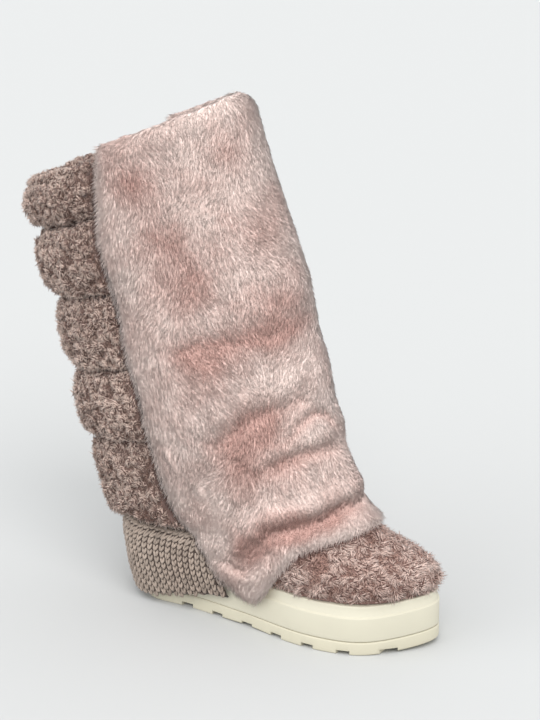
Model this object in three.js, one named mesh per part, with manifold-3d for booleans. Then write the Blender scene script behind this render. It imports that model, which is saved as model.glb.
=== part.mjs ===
import * as THREE from 'three';
import { mergeVertices } from 'three/addons/utils/BufferGeometryUtils.js';
import Module from 'manifold-3d';

// Snow boot for the right foot, in millimetres.
// +X points to the toe, +Y to the inner (medial) side, +Z up.
// The origin is on the floor, under the middle of the heel.

const wasm = await Module();
wasm.setup();

// Driving sizes of the last and the sole
const SOLE_LENGTH = 285;
const HEEL_CENTRE = 42;
const TOE_AXIS_SHIFT = 6;
const TOE_SHIFT_START = 190;
const HEEL_END_FULLNESS = 70;
const TOE_END_FULLNESS = 50;

const TREAD_HEIGHT = 12;
const PLATFORM_STEP = 35;
const PLATFORM_TOP = 45;
const TOE_SPRING = 5;
const TOE_SPRING_START = 236;
const HEEL_BEVEL = 3;
const HEEL_BEVEL_LENGTH = 14;
const WAIST_ARCH = 1.2;
const WAIST_START = 85;
const WAIST_END = 160;
const CHANNEL_PITCH = 33.5;
const FIRST_CHANNEL = 58;
const CHANNEL_WIDTH = 12;
const CHANNEL_DEPTH = 4;
const CHANNEL_COUNT = 7;

const GAP = 0.3;
const SEAT = 0.8;
const WALL = 3;
const FOOTBED = 4;
const COLUMNS = 40;
const SOLE_COLUMNS = 64;
const DEGREE = Math.PI / 180;

// Half widths of the sole at distances from the back of the heel
const OUTLINE = [
  { at: 12, lateral: 27.7, medial: 28.9 },
  { at: 42, lateral: 35.5, medial: 37 },
  { at: 115, lateral: 44.5, medial: 38.5 },
  { at: 190, lateral: 58, medial: 49 },
  { at: 205, lateral: 58, medial: 51 },
  { at: 250, lateral: 44.9, medial: 40.6 },
  { at: 277, lateral: 18, medial: 20 },
];
const WIDEST = { lateral: 59, medial: 51 };

// Sections of the upper's outer face. Each lies in a plane through its front and back points.
// x is measured from the back of the heel, foot says how far the section follows the sole's outline.
const UPPER_SECTIONS = [
  { name: 'featherline', frontX: 279, frontZ: 45.6, backX: 5, backZ: 45.6, lateral: 54, medial: 47, foot: 1 },
  { name: 'toe_wall', frontX: 284, frontZ: 58, backX: -3, backZ: 57, lateral: 58, medial: 50, foot: 1 },
  { name: 'toe_top', frontX: 271, frontZ: 75, backX: -7, backZ: 69, lateral: 55, medial: 48, foot: 0.95 },
  { name: 'vamp', frontX: 243, frontZ: 88, backX: -12, backZ: 83, lateral: 49, medial: 43, foot: 0.8 },
  { name: 'instep', frontX: 204, frontZ: 111, backX: -20, backZ: 100, lateral: 48, medial: 44, foot: 0.5 },
  { name: 'ankle', frontX: 184, frontZ: 150, backX: -33, backZ: 121, lateral: 53, medial: 50, foot: 0.2 },
  { name: 'fourth_seam', frontX: 172, frontZ: 190, backX: -45, backZ: 146, lateral: 58, medial: 57, foot: 0 },
  { name: 'third_seam', frontX: 150, frontZ: 262, backX: -61, backZ: 204, lateral: 60, medial: 60, foot: 0 },
  { name: 'second_seam', frontX: 131, frontZ: 333, backX: -78, backZ: 267, lateral: 60, medial: 60, foot: 0 },
  { name: 'first_seam', frontX: 101, frontZ: 406, backX: -95, backZ: 325, lateral: 59, medial: 59, foot: 0 },
  { name: 'collar', frontX: 87, frontZ: 452, backX: -105, backZ: 364, lateral: 57, medial: 57, foot: 0 },
];

// The overlays also cover the rim and the side of the platform
const SKIRT_SECTIONS = [
  { name: 'skirt', frontX: 286, frontZ: 0, backX: -1, backZ: 0, lateral: 60, medial: 52, foot: 1 },
  { name: 'rim', frontX: 286, frontZ: 44, backX: -1, backZ: 44, lateral: 60, medial: 52, foot: 1 },
];
const COVER_SECTIONS = [...SKIRT_SECTIONS, ...UPPER_SECTIONS.slice(1)];

// Where the fur sheet's back edge runs, by the height at the boot's side, in degrees from the toe
const FUR_EDGE = [
  { height: 16, lateral: 260, medial: 100 },
  { height: 32, lateral: 256, medial: 104 },
  { height: 52, lateral: 250, medial: 110 },
  { height: 90, lateral: 247, medial: 113 },
  { height: 125, lateral: 252, medial: 108 },
  { height: 170, lateral: 258, medial: 102 },
  { height: 300, lateral: 259, medial: 101 },
  { height: 360, lateral: 261, medial: 99 },
  { height: 410, lateral: 270, medial: 90 },
];

// Height of the fur sheet's hem round the foot
const FUR_HEM = [
  { angle: 253, height: 40 },
  { angle: 258, height: 31 },
  { angle: 264, height: 27 },
  { angle: 271, height: 36 },
  { angle: 282, height: 60 },
  { angle: 296, height: 79 },
  { angle: 312, height: 88 },
  { angle: 340, height: 95 },
  { angle: 360, height: 97 },
  { angle: 385, height: 95 },
  { angle: 408, height: 86 },
  { angle: 432, height: 62 },
  { angle: 446, height: 42 },
  { angle: 458, height: 34 },
  { angle: 467, height: 40 },
];

// Small tools for curves and meshes

// Reads one column of a table at a position, along a smooth curve that never overshoots
function readTable(table, key, column, position) {
  const last = table.length - 1;
  if (position <= table[0][key]) return table[0][column];
  if (position >= table[last][key]) return table[last][column];
  let i = 0;
  while (position > table[i + 1][key]) i += 1;
  const slopeBetween = (k) => (table[k + 1][column] - table[k][column]) / (table[k + 1][key] - table[k][key]);
  const slopeAt = (k) => {
    if (k === 0) return slopeBetween(0);
    if (k === last) return slopeBetween(last - 1);
    const before = slopeBetween(k - 1);
    const after = slopeBetween(k);
    return before * after <= 0 ? 0 : (2 * before * after) / (before + after);
  };
  const span = table[i + 1][key] - table[i][key];
  const t = (position - table[i][key]) / span;
  const a = table[i][column];
  const b = table[i + 1][column];
  const rise = b - a;
  const startSlope = slopeAt(i) * span;
  const endSlope = slopeAt(i + 1) * span;
  return a + t * (startSlope + t * (3 * rise - 2 * startSlope - endSlope + t * (startSlope + endSlope - 2 * rise)));
}

function smoothStep(from, to, value) {
  return THREE.MathUtils.smoothstep(value, from, to);
}

// Builds a geometry from points and triangles
function makeGeometry(points, triangles) {
  const geometry = new THREE.BufferGeometry();
  const flat = points.flatMap((p) => [p.x, p.y, p.z]);
  geometry.setAttribute('position', new THREE.Float32BufferAttribute(flat, 3));
  geometry.setIndex(triangles.flat());
  return geometry;
}

// A closed shell between an outer and an inner grid, grid[column][row]
function shellGeometry(outer, inner, ring) {
  const columns = outer.length;
  const rows = outer[0].length;
  const points = [...outer.flat(), ...inner.flat()];
  const out = (i, j) => (i % columns) * rows + j;
  const inn = (i, j) => columns * rows + (i % columns) * rows + j;
  const triangles = [];
  const quad = (a, b, c, d) => triangles.push([a, b, c], [a, c, d]);
  const spans = ring ? columns : columns - 1;
  for (let i = 0; i < spans; i += 1) {
    for (let j = 0; j < rows - 1; j += 1) {
      quad(out(i, j), out(i + 1, j), out(i + 1, j + 1), out(i, j + 1));
      quad(inn(i, j), inn(i, j + 1), inn(i + 1, j + 1), inn(i + 1, j));
    }
    quad(inn(i, 0), inn(i + 1, 0), out(i + 1, 0), out(i, 0));
    quad(out(i, rows - 1), out(i + 1, rows - 1), inn(i + 1, rows - 1), inn(i, rows - 1));
  }
  if (!ring) {
    const end = columns - 1;
    for (let j = 0; j < rows - 1; j += 1) {
      quad(inn(0, j), out(0, j), out(0, j + 1), inn(0, j + 1));
      quad(out(end, j), inn(end, j), inn(end, j + 1), out(end, j + 1));
    }
  }
  return makeGeometry(points, triangles);
}

// A solid through a stack of loops with flat or gently bent ends
function stackGeometry(loops) {
  const columns = loops[0].length;
  const points = loops.flat();
  const at = (level, i) => level * columns + (i % columns);
  const triangles = [];
  for (let level = 0; level < loops.length - 1; level += 1) {
    for (let i = 0; i < columns; i += 1) {
      triangles.push([at(level, i), at(level, i + 1), at(level + 1, i + 1)]);
      triangles.push([at(level, i), at(level + 1, i + 1), at(level + 1, i)]);
    }
  }
  const top = loops.length - 1;
  for (let i = 0; i < columns / 2; i += 1) {
    const near = i + 1;
    const farNear = columns - i - 1;
    const far = columns - i;
    if (near !== farNear) {
      triangles.push([at(top, i), at(top, near), at(top, farNear)]);
      triangles.push([at(0, i), at(0, farNear), at(0, near)]);
    }
    if (i > 0) {
      triangles.push([at(top, i), at(top, farNear), at(top, far)]);
      triangles.push([at(0, i), at(0, far), at(0, farNear)]);
    }
  }
  return makeGeometry(points, triangles);
}

function toSolid(geometry) {
  const bare = geometry.clone();
  bare.deleteAttribute('normal');
  bare.deleteAttribute('uv');
  const merged = mergeVertices(bare);
  const mesh = new wasm.Mesh({
    numProp: 3,
    vertProperties: new Float32Array(merged.attributes.position.array),
    triVerts: new Uint32Array(merged.index.array),
  });
  return new wasm.Manifold(mesh);
}

function fromSolid(solid) {
  const mesh = solid.getMesh();
  const geometry = new THREE.BufferGeometry();
  geometry.setAttribute('position', new THREE.Float32BufferAttribute(mesh.vertProperties, 3));
  geometry.setIndex(Array.from(mesh.triVerts));
  return geometry;
}

// The sole's outline

function fullness(side, along) {
  const table = [
    { along: -1, value: HEEL_END_FULLNESS },
    ...OUTLINE.map((row) => {
      const c = (2 * row.at) / SOLE_LENGTH - 1;
      return { along: c, value: row[side] / Math.sqrt(1 - c * c) };
    }),
    { along: 1, value: TOE_END_FULLNESS },
  ];
  return readTable(table, 'along', 'value', along);
}

// Sideways shape of the sole's outline at an angle, as a share of its widest half width
function outlineShape(angle) {
  const side = Math.sin(angle) > 0 ? 'medial' : 'lateral';
  return (Math.sin(angle) * fullness(side, Math.cos(angle))) / WIDEST[side];
}

function axisShift(x) {
  const t = Math.max(0, (x - TOE_SHIFT_START) / (SOLE_LENGTH - TOE_SHIFT_START));
  return TOE_AXIS_SHIFT * t * t;
}

function toeSpring(x) {
  const t = Math.max(0, (x - TOE_SPRING_START) / (SOLE_LENGTH - TOE_SPRING_START));
  return TOE_SPRING * t * t;
}

// One loop of the sole at a height, drawn in from the outline by an inset
function soleLoop(height, inset, floorShape) {
  const loop = [];
  for (let i = 0; i < SOLE_COLUMNS; i += 1) {
    const angle = (2 * Math.PI * i) / SOLE_COLUMNS;
    const halfLength = SOLE_LENGTH / 2 - inset;
    const x = SOLE_LENGTH / 2 + halfLength * Math.cos(angle);
    const side = Math.sin(angle) > 0 ? 'medial' : 'lateral';
    const shrink = 1 - inset / WIDEST[side];
    const y = outlineShape(angle) * WIDEST[side] * shrink + axisShift(x);
    const z = height + toeSpring(x) + (floorShape ? treadLift(x) : 0);
    loop.push(new THREE.Vector3(x - HEEL_CENTRE, y, z));
  }
  return loop;
}

// The tread leaves the floor at the heel's end and a little under the arch
function treadLift(x) {
  const heel = Math.max(0, 1 - x / HEEL_BEVEL_LENGTH);
  const waist = Math.max(0, Math.sin((Math.PI * (x - WAIST_START)) / (WAIST_END - WAIST_START)));
  const inWaist = x > WAIST_START && x < WAIST_END;
  return HEEL_BEVEL * heel + (inWaist ? WAIST_ARCH * waist : 0);
}

// The upper's own surface, from its sections

function sectionPoint(sections, angle, row) {
  const rows = sections.map((section, index) => ({ index, ...section }));
  const read = (column) => readTable(rows, 'index', column, row);
  const along = (1 + Math.cos(angle)) / 2;
  const x = THREE.MathUtils.lerp(read('backX'), read('frontX'), along);
  const side = Math.sin(angle) > 0 ? 'medial' : 'lateral';
  const shape = THREE.MathUtils.lerp(Math.sin(angle), outlineShape(angle), read('foot'));
  const y = shape * read(side) + axisShift(x) * read('foot');
  const z = THREE.MathUtils.lerp(read('backZ'), read('frontZ'), along) + toeSpring(x) * read('foot');
  return new THREE.Vector3(x - HEEL_CENTRE, y, z);
}

// A point off the surface: out along its normal, and lifted along the way up
function offsetPoint(sections, angle, row, out, lift) {
  const step = 0.02;
  const last = sections.length - 1;
  const low = Math.max(0, row - step);
  const high = Math.min(last, row + step);
  const point = sectionPoint(sections, angle, row);
  const round = sectionPoint(sections, angle + step, row).sub(sectionPoint(sections, angle - step, row));
  const up = sectionPoint(sections, angle, high).sub(sectionPoint(sections, angle, low)).normalize();
  const normal = round.normalize().cross(up).normalize();
  return point.addScaledVector(normal, out).addScaledVector(up, lift ?? 0);
}

// The row at which the surface reaches a height, at an angle
function rowAtHeight(sections, angle, height) {
  let low = 0;
  let high = sections.length - 1;
  for (let i = 0; i < 24; i += 1) {
    const middle = (low + high) / 2;
    if (sectionPoint(sections, angle, middle).z < height) low = middle;
    else high = middle;
  }
  return (low + high) / 2;
}

function rowOf(sections, name) {
  return sections.findIndex((section) => section.name === name);
}

const COVER_TOP = COVER_SECTIONS.length - 1;
const SIDE_HEIGHTS = [];
for (let row = 0; row <= COVER_TOP; row += 0.25) {
  SIDE_HEIGHTS.push({ row, height: sectionPoint(COVER_SECTIONS, 1.5 * Math.PI, row).z });
}

// The fur's back edge at a row, in radians; the medial edge is past the toe, over a full turn
function furEdge(side, row) {
  const height = readTable(SIDE_HEIGHTS, 'row', 'height', row);
  const degrees = readTable(FUR_EDGE, 'height', side, height);
  return (side === 'medial' ? degrees + 360 : degrees) * DEGREE;
}

// Outsole: a flat tread with cross channels, lifted at the toe

function makeOutsole() {
  const edge = 1.6;
  const block = toSolid(stackGeometry([
    soleLoop(0, edge, true),
    soleLoop(edge, 0, true),
    soleLoop(TREAD_HEIGHT - edge, 0, false),
    soleLoop(TREAD_HEIGHT, edge, false),
  ]));
  let tread = block;
  const reach = 2 * WIDEST.lateral + 20;
  const below = 6;
  for (let i = 0; i < CHANNEL_COUNT; i += 1) {
    const x = FIRST_CHANNEL + i * CHANNEL_PITCH;
    const height = CHANNEL_DEPTH + below;
    const channel = new THREE.BoxGeometry(CHANNEL_WIDTH, reach, height);
    channel.translate(x - HEEL_CENTRE, 0, toeSpring(x) + CHANNEL_DEPTH - height / 2);
    tread = tread.subtract(toSolid(channel));
  }
  return fromSolid(tread);
}

// Midsole: the platform's wall, a ledge, and a rim set back from it

function makeMidsole() {
  const edge = 1.6;
  const rimInset = 2;
  const base = TREAD_HEIGHT + GAP;
  return stackGeometry([
    soleLoop(base, edge, false),
    soleLoop(base + edge, 0, false),
    soleLoop(PLATFORM_STEP - edge, 0, false),
    soleLoop(PLATFORM_STEP, edge * 0.6, false),
    soleLoop(PLATFORM_STEP + 0.8, rimInset, false),
    soleLoop(PLATFORM_TOP - edge, rimInset, false),
    soleLoop(PLATFORM_TOP, rimInset + edge, false),
  ]);
}

// Upper: one tube with a real wall, open at the collar and underneath

const UPPER_ROWS = [0, 0.35, 0.7, 1, 1.4, 1.8, 2.2, 2.7, 3.3, 4, 4.6, 5.3, 6, 7, 8, 9, 10];

// The same tube, grown by a gap, is what the overlays are cut clear of
function makeUpper(grow) {
  const outer = [];
  const inner = [];
  const top = UPPER_SECTIONS.length - 1;
  for (let i = 0; i < COLUMNS; i += 1) {
    const angle = (2 * Math.PI * i) / COLUMNS;
    const lift = (row) => (row === top ? grow : 0);
    outer.push(UPPER_ROWS.map((row) => offsetPoint(UPPER_SECTIONS, angle, row, grow, lift(row))));
    inner.push(UPPER_ROWS.map((row) => offsetPoint(UPPER_SECTIONS, angle, row, -WALL - grow, lift(row))));
  }
  const floor = PLATFORM_TOP + GAP - grow;
  for (let i = 0; i < COLUMNS; i += 1) {
    for (const column of [outer[i], inner[i]]) {
      const x = column[0].x + HEEL_CENTRE;
      column[0].z = floor + toeSpring(x);
    }
  }
  return shellGeometry(outer, inner, true);
}

// Insole: a footbed that lies inside the upper on the platform

function makeInsole() {
  const clearance = WALL + 1.2;
  const loopAt = (height, inset) => {
    const loop = [];
    for (let i = 0; i < COLUMNS; i += 1) {
      const angle = (2 * Math.PI * i) / COLUMNS;
      const point = offsetPoint(UPPER_SECTIONS, angle, 0.3, -clearance - inset);
      point.z = height + toeSpring(point.x + HEEL_CENTRE);
      loop.push(point);
    }
    return loop;
  };
  const base = PLATFORM_TOP + GAP;
  return stackGeometry([loopAt(base, 2.5), loopAt(base + FOOTBED - 1, 2.5), loopAt(base + FOOTBED, 3.5)]);
}

// Overlays reach into the upper's wall and are then cut clear of it, so both faces run side by side
const BITE = 1.1;
const SLIVER = 0.2;
const SEAT_START_ROW = 1.6;
const SEAT_END_ROW = 2.2;
const upperForm = toSolid(makeUpper(GAP));

function seatOffset(row) {
  return THREE.MathUtils.lerp(SEAT, -BITE, smoothStep(SEAT_START_ROW, SEAT_END_ROW, row));
}

// Keeps the largest piece of the cut and smooths away slivers thinner than a hair
function cutClear(solid) {
  const cut = solid.subtract(upperForm);
  const pieces = cut.decompose();
  const largest = pieces.reduce((a, b) => (a.volume() > b.volume() ? a : b));
  return fromSolid(largest.simplify(SLIVER));
}

// Shaft rolls: padded bands stacked up the back, each thick in its middle and thin at its seams

const ROLL_BASE = 6;
const ROLL_SQUARENESS = 0.42;
const ROLL_COLUMNS = 16;
const ROLL_END_SOFTENING = 0.12;
const ROLL_FOLD = { thick: 14, rise: 6.5, insideThick: 5, depth: 14 };

// crown is how far a roll swells between its seams, belly skews the swelling downwards below 1
const ROLLS = [
  { name: 'shaft_roll_1', bottom: 'first_seam', top: 'collar', crown: 14, belly: 1.05 },
  { name: 'shaft_roll_2', bottom: 'second_seam', top: 'first_seam', crown: 14, belly: 0.95 },
  { name: 'shaft_roll_3', bottom: 'third_seam', top: 'second_seam', crown: 11, belly: 0.9 },
  { name: 'shaft_roll_4', bottom: 'fourth_seam', top: 'third_seam', crown: 12, belly: 0.9 },
  { name: 'shaft_roll_5', bottom: 'heel_top', top: 'fourth_seam', crown: 19, belly: 0.5 },
];
const HEEL_TOP_ROW = 3.6;
const HEEL_TOP_GAP = 0.7;
const EDGE_CLEARANCE = 2 * DEGREE;

function rollRow(name) {
  return name === 'heel_top' ? HEEL_TOP_ROW : rowOf(COVER_SECTIONS, name);
}

function makeRoll(roll) {
  const bottom = rollRow(roll.bottom);
  const top = rollRow(roll.top);
  const shares = [0, 0.06, 0.2, 0.4, 0.6, 0.8, 0.94, 1];
  const outer = [];
  const inner = [];
  for (let i = 0; i <= ROLL_COLUMNS; i += 1) {
    const p = i / ROLL_COLUMNS;
    const ends = smoothStep(0, ROLL_END_SOFTENING, Math.min(p, 1 - p));
    const far = [];
    const near = [];
    for (const q of shares) {
      const row = THREE.MathUtils.lerp(bottom, top, q);
      const from = furEdge('medial', row) - 2 * Math.PI + EDGE_CLEARANCE;
      const to = furEdge('lateral', row) - EDGE_CLEARANCE;
      const angle = THREE.MathUtils.lerp(from, to, p);
      const belly = Math.sin(Math.PI * q ** roll.belly) ** ROLL_SQUARENESS;
      const thick = ROLL_BASE * (0.75 + 0.25 * belly) + roll.crown * belly * (0.7 + 0.3 * ends);
      const foot = roll.bottom === 'heel_top' ? HEEL_TOP_GAP : GAP;
      const lift = q === 0 ? foot : q === 1 ? -GAP : 0;
      far.push(offsetPoint(COVER_SECTIONS, angle, row, thick, lift));
      near.push(offsetPoint(COVER_SECTIONS, angle, row, seatOffset(row), lift));
    }
    if (roll.top === 'collar') {
      addFoldOver(far, near, furAngleAtCollar(p), ROLL_FOLD);
    }
    outer.push(far);
    inner.push(near);
  }
  return cutClear(toSolid(shellGeometry(outer, inner, false)));
}

function furAngleAtCollar(p) {
  const from = furEdge('medial', COVER_TOP) - 2 * Math.PI + EDGE_CLEARANCE;
  const to = furEdge('lateral', COVER_TOP) - EDGE_CLEARANCE;
  return THREE.MathUtils.lerp(from, to, p);
}

// Carries a section over the collar's rim and down inside it
function addFoldOver(far, near, angle, { thick, rise, insideThick, depth }) {
  const at = (row, out, lift) => offsetPoint(COVER_SECTIONS, angle, row, out, lift);
  const outsideFace = -BITE;
  const insideFace = BITE - WALL;
  const buried = 0.2;
  far.push(at(COVER_TOP, 0.8 * thick, 0.45 * rise));
  near.push(at(COVER_TOP, outsideFace, 0.5 * buried));
  far.push(at(COVER_TOP, 0.25 * thick, rise));
  near.push(at(COVER_TOP, -WALL / 2, buried));
  far.push(at(COVER_TOP, insideFace - 0.6 * insideThick, 0.6 * rise));
  near.push(at(COVER_TOP, insideFace, 0.5 * buried));
  far.push(at(COVER_TOP, insideFace - insideThick, -0.3 * depth));
  near.push(at(COVER_TOP, insideFace, -0.3 * depth));
  far.push(at(COVER_TOP, insideFace - 0.5 * insideThick, -depth));
  near.push(at(COVER_TOP, insideFace, -depth));
}

// Heel knit: a soft cover round the heel that hangs over the platform

const KNIT_COLUMNS = 20;
const KNIT_LEVELS = [
  { share: 0, thick: 10 },
  { share: 0.12, thick: 17 },
  { share: 0.35, thick: 20 },
  { share: 0.6, thick: 20 },
  { share: 0.85, thick: 18 },
  { share: 1, thick: 12 },
];
const KNIT_HEM_BACK = 4;
const KNIT_HEM_SIDE = 24;

function makeHeelKnit() {
  const outer = [];
  const inner = [];
  const top = HEEL_TOP_ROW;
  for (let i = 0; i <= KNIT_COLUMNS; i += 1) {
    const p = i / KNIT_COLUMNS;
    const sideways = Math.abs(2 * p - 1);
    const hem = THREE.MathUtils.lerp(KNIT_HEM_BACK, KNIT_HEM_SIDE, smoothStep(0.35, 1, sideways));
    const hemRow = rowAtHeight(COVER_SECTIONS, Math.PI, hem);
    const slim = 1 - 0.45 * smoothStep(0.55, 1, sideways);
    const far = [];
    const near = [];
    for (const q of [0, 0.05, 0.14, 0.28, 0.44, 0.6, 0.76, 0.9, 1]) {
      const row = THREE.MathUtils.lerp(hemRow, top, q);
      const from = furEdge('medial', row) - 2 * Math.PI + EDGE_CLEARANCE;
      const to = furEdge('lateral', row) - EDGE_CLEARANCE;
      const angle = THREE.MathUtils.lerp(from, to, p);
      const thick = readTable(KNIT_LEVELS, 'share', 'thick', q) * slim;
      const lift = q === 1 ? -HEEL_TOP_GAP : 0;
      far.push(offsetPoint(COVER_SECTIONS, angle, row, thick, lift));
      near.push(offsetPoint(COVER_SECTIONS, angle, row, seatOffset(row), lift));
    }
    outer.push(far);
    inner.push(near);
  }
  return cutClear(toSolid(shellGeometry(outer, inner, false)));
}

// Fur sheet: thick pile over the front and the sides, turned over the collar, with a free hem

const FUR_COLUMNS = 22;
const FUR_THICK = 15;
const FUR_HEM_THICK = 9;
const FUR_FOLD = { rise: 16.5, insideThick: 9, depth: 26 };
const FUR_SHARES = [
  0, 0.03, 0.07, 0.11, 0.15, 0.19, 0.23, 0.27, 0.31, 0.36, 0.42, 0.48, 0.54, 0.64, 0.76, 0.88, 1,
];

// Slouch folds of the sheet, as lines in the side view. x is measured from the back of the heel.
const FUR_FOLDS = [
  { name: 'vamp', backX: 124, backZ: 62, frontX: 216, frontZ: 122, depth: 5, width: 11 },
  { name: 'instep', backX: 144, backZ: 152, frontX: 196, frontZ: 172, depth: 2.5, width: 9 },
  { name: 'ankle', backX: 100, backZ: 174, frontX: 178, frontZ: 220, depth: 4, width: 11 },
  { name: 'shin', backX: 58, backZ: 254, frontX: 162, frontZ: 284, depth: 3, width: 13 },
];

// Cloth sinks along a fold's line and bulges above it, and both fade out at its ends
function foldSwell(point) {
  let swell = 0;
  for (const fold of FUR_FOLDS) {
    const start = new THREE.Vector2(fold.backX - HEEL_CENTRE, fold.backZ);
    const way = new THREE.Vector2(fold.frontX - HEEL_CENTRE, fold.frontZ).sub(start);
    const length = way.length();
    way.normalize();
    const from = new THREE.Vector2(point.x, point.z).sub(start);
    const along = from.dot(way) / length;
    const across = way.cross(from) / fold.width;
    const fade = smoothStep(-0.25, 0.1, along) * (1 - smoothStep(1, 1.4, along));
    const hollow = Math.exp(-(across * across));
    const bulge = 0.6 * Math.exp(-((across - 1.4) ** 2));
    swell += fold.depth * fade * (bulge - hollow);
  }
  return swell;
}

function furThickness(angle, row, share) {
  const hemRound = smoothStep(0, 0.06, share);
  const inBody = smoothStep(0.02, 0.12, share);
  const swell = inBody * foldSwell(sectionPoint(COVER_SECTIONS, angle, row));
  return FUR_HEM_THICK + (FUR_THICK - FUR_HEM_THICK) * hemRound + swell;
}

// Row and angle of the sheet at a share of its width from the lateral edge, and a share of its height from the hem
function furPlace(across, share) {
  const hemAngle = THREE.MathUtils.lerp(FUR_HEM[0].angle, FUR_HEM[FUR_HEM.length - 1].angle, across);
  const hemHeight = readTable(FUR_HEM, 'angle', 'height', hemAngle);
  const hemRow = rowAtHeight(COVER_SECTIONS, hemAngle * DEGREE, hemHeight);
  const row = THREE.MathUtils.lerp(hemRow, COVER_TOP, share);
  const angle = THREE.MathUtils.lerp(furEdge('lateral', row), furEdge('medial', row), across);
  return { row, angle };
}

function makeFurSheet() {
  const outer = [];
  const inner = [];
  for (let i = 0; i <= FUR_COLUMNS; i += 1) {
    const across = i / FUR_COLUMNS;
    const edgeRound = 0.75 + 0.25 * smoothStep(0, 0.06, Math.min(across, 1 - across));
    const far = [];
    const near = [];
    for (const share of FUR_SHARES) {
      const { row, angle } = furPlace(across, share);
      const thick = furThickness(angle, row, share) * edgeRound;
      far.push(offsetPoint(COVER_SECTIONS, angle, row, thick));
      near.push(offsetPoint(COVER_SECTIONS, angle, row, seatOffset(row)));
    }
    addFoldOver(far, near, furPlace(across, 1).angle, { ...FUR_FOLD, thick: FUR_THICK * edgeRound });
    outer.push(far);
    inner.push(near);
  }
  return toSolid(shellGeometry(outer, inner, false));
}

// Locks of pile: wedges rooted in the sheet, with tips that hang free
const LOCK_ROWS = 7;
const LOCKS_PER_ROW = 7;
const HEM_LOCKS = 17;
const LOCK_WIDTH = 10;
const LOCK_LENGTH = 24;
const LOCK_RISE = 2.2;
const LOCK_ROOT = 3;
const HEM_LOCK_REACH = 6;

function lockSolid(across, share, thick, length, rise) {
  const { row, angle } = furPlace(across, share);
  const at = (side, out, lift) => {
    const step = 0.02;
    const point = offsetPoint(COVER_SECTIONS, angle, row, out, lift);
    const ahead = sectionPoint(COVER_SECTIONS, angle + step, row);
    const round = ahead.sub(sectionPoint(COVER_SECTIONS, angle - step, row)).normalize();
    const { x, y, z } = point.addScaledVector(round, side);
    return [x, y, z];
  };
  const half = LOCK_WIDTH / 2;
  return wasm.Manifold.hull([
    at(0, thick - LOCK_ROOT, 0.3 * length),
    at(half, thick - LOCK_ROOT, 0),
    at(-half, thick - LOCK_ROOT, 0),
    at(0, thick + rise, -0.25 * length),
    at(0, thick + 0.3 * rise, -0.7 * length),
  ]);
}

function makeFurPanel() {
  const locks = [];
  for (let i = 0; i < LOCK_ROWS; i += 1) {
    for (let k = 0; k < LOCKS_PER_ROW; k += 1) {
      const stagger = i % 2 === 0 ? 0.3 : 0.7;
      const across = (k + stagger) / LOCKS_PER_ROW;
      const share = (i + 0.8 + 0.25 * Math.sin(2.4 * k + i)) / (LOCK_ROWS + 0.6);
      const { row, angle } = furPlace(across, share);
      const size = 1 + 0.2 * Math.sin(5 * i + 3 * k);
      locks.push(lockSolid(across, share, furThickness(angle, row, share), LOCK_LENGTH * size, LOCK_RISE));
    }
  }
  for (let k = 0; k < HEM_LOCKS; k += 1) {
    const across = (k + 0.5) / HEM_LOCKS;
    const reach = HEM_LOCK_REACH * (1 + 0.35 * Math.sin(2.1 * k));
    locks.push(lockSolid(across, 0.012, 0.75 * FUR_HEM_THICK, reach / 0.7, 0.8));
  }
  return cutClear(wasm.Manifold.union([makeFurSheet(), ...locks]));
}

// The finished boot

const rubber = new THREE.MeshStandardMaterial({ color: 0xece2c6, roughness: 0.6, metalness: 0 });
const tread = new THREE.MeshStandardMaterial({ color: 0xe6dbbd, roughness: 0.7, metalness: 0 });
const lining = new THREE.MeshStandardMaterial({ color: 0xb9a9a2, roughness: 0.95, metalness: 0 });
const curly = new THREE.MeshStandardMaterial({ color: 0x8f7572, roughness: 1, metalness: 0 });
const knit = new THREE.MeshStandardMaterial({ color: 0x9a8883, roughness: 0.95, metalness: 0 });
const plush = new THREE.MeshStandardMaterial({ color: 0xcdb3ab, roughness: 1, metalness: 0 });

const group = new THREE.Group();

function addPart(name, geometry, material) {
  const mesh = new THREE.Mesh(geometry, material);
  mesh.name = name;
  group.add(mesh);
}

addPart('outsole', makeOutsole(), tread);
addPart('midsole', makeMidsole(), rubber);
addPart('insole', makeInsole(), lining);
addPart('upper', makeUpper(0), curly);
addPart('heel_knit', makeHeelKnit(), knit);
for (const roll of ROLLS) {
  addPart(roll.name, makeRoll(roll), curly);
}
addPart('fur_panel', makeFurPanel(), plush);

export default group;
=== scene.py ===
"""Looks of a tall snow boot: plush front, curly rolls, knitted heel and a pale platform sole."""

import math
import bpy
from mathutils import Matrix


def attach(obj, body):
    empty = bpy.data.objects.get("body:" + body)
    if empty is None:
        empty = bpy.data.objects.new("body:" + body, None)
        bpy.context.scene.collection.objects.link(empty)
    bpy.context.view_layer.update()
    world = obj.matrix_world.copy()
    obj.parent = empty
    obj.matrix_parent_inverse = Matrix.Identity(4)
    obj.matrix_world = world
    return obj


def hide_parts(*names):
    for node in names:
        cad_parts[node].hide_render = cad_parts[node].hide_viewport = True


bl_info = {
    "name": "Snow boot looks",
    "version": (1, 0, 0),
    "blender": (4, 5, 0),
    "location": "3D View > Sidebar > Snow boot",
    "description": "Plush fur, curly pile, heel knit and platform sole of a tall snow boot",
    "category": "Object",
}

import bmesh
import bpy
import numpy as np
from bpy.props import FloatProperty, FloatVectorProperty, IntProperty, PointerProperty
from bpy.types import Operator, Panel, PropertyGroup
from mathutils import Vector
from mathutils.bvhtree import BVHTree
from mathutils.kdtree import KDTree

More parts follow.
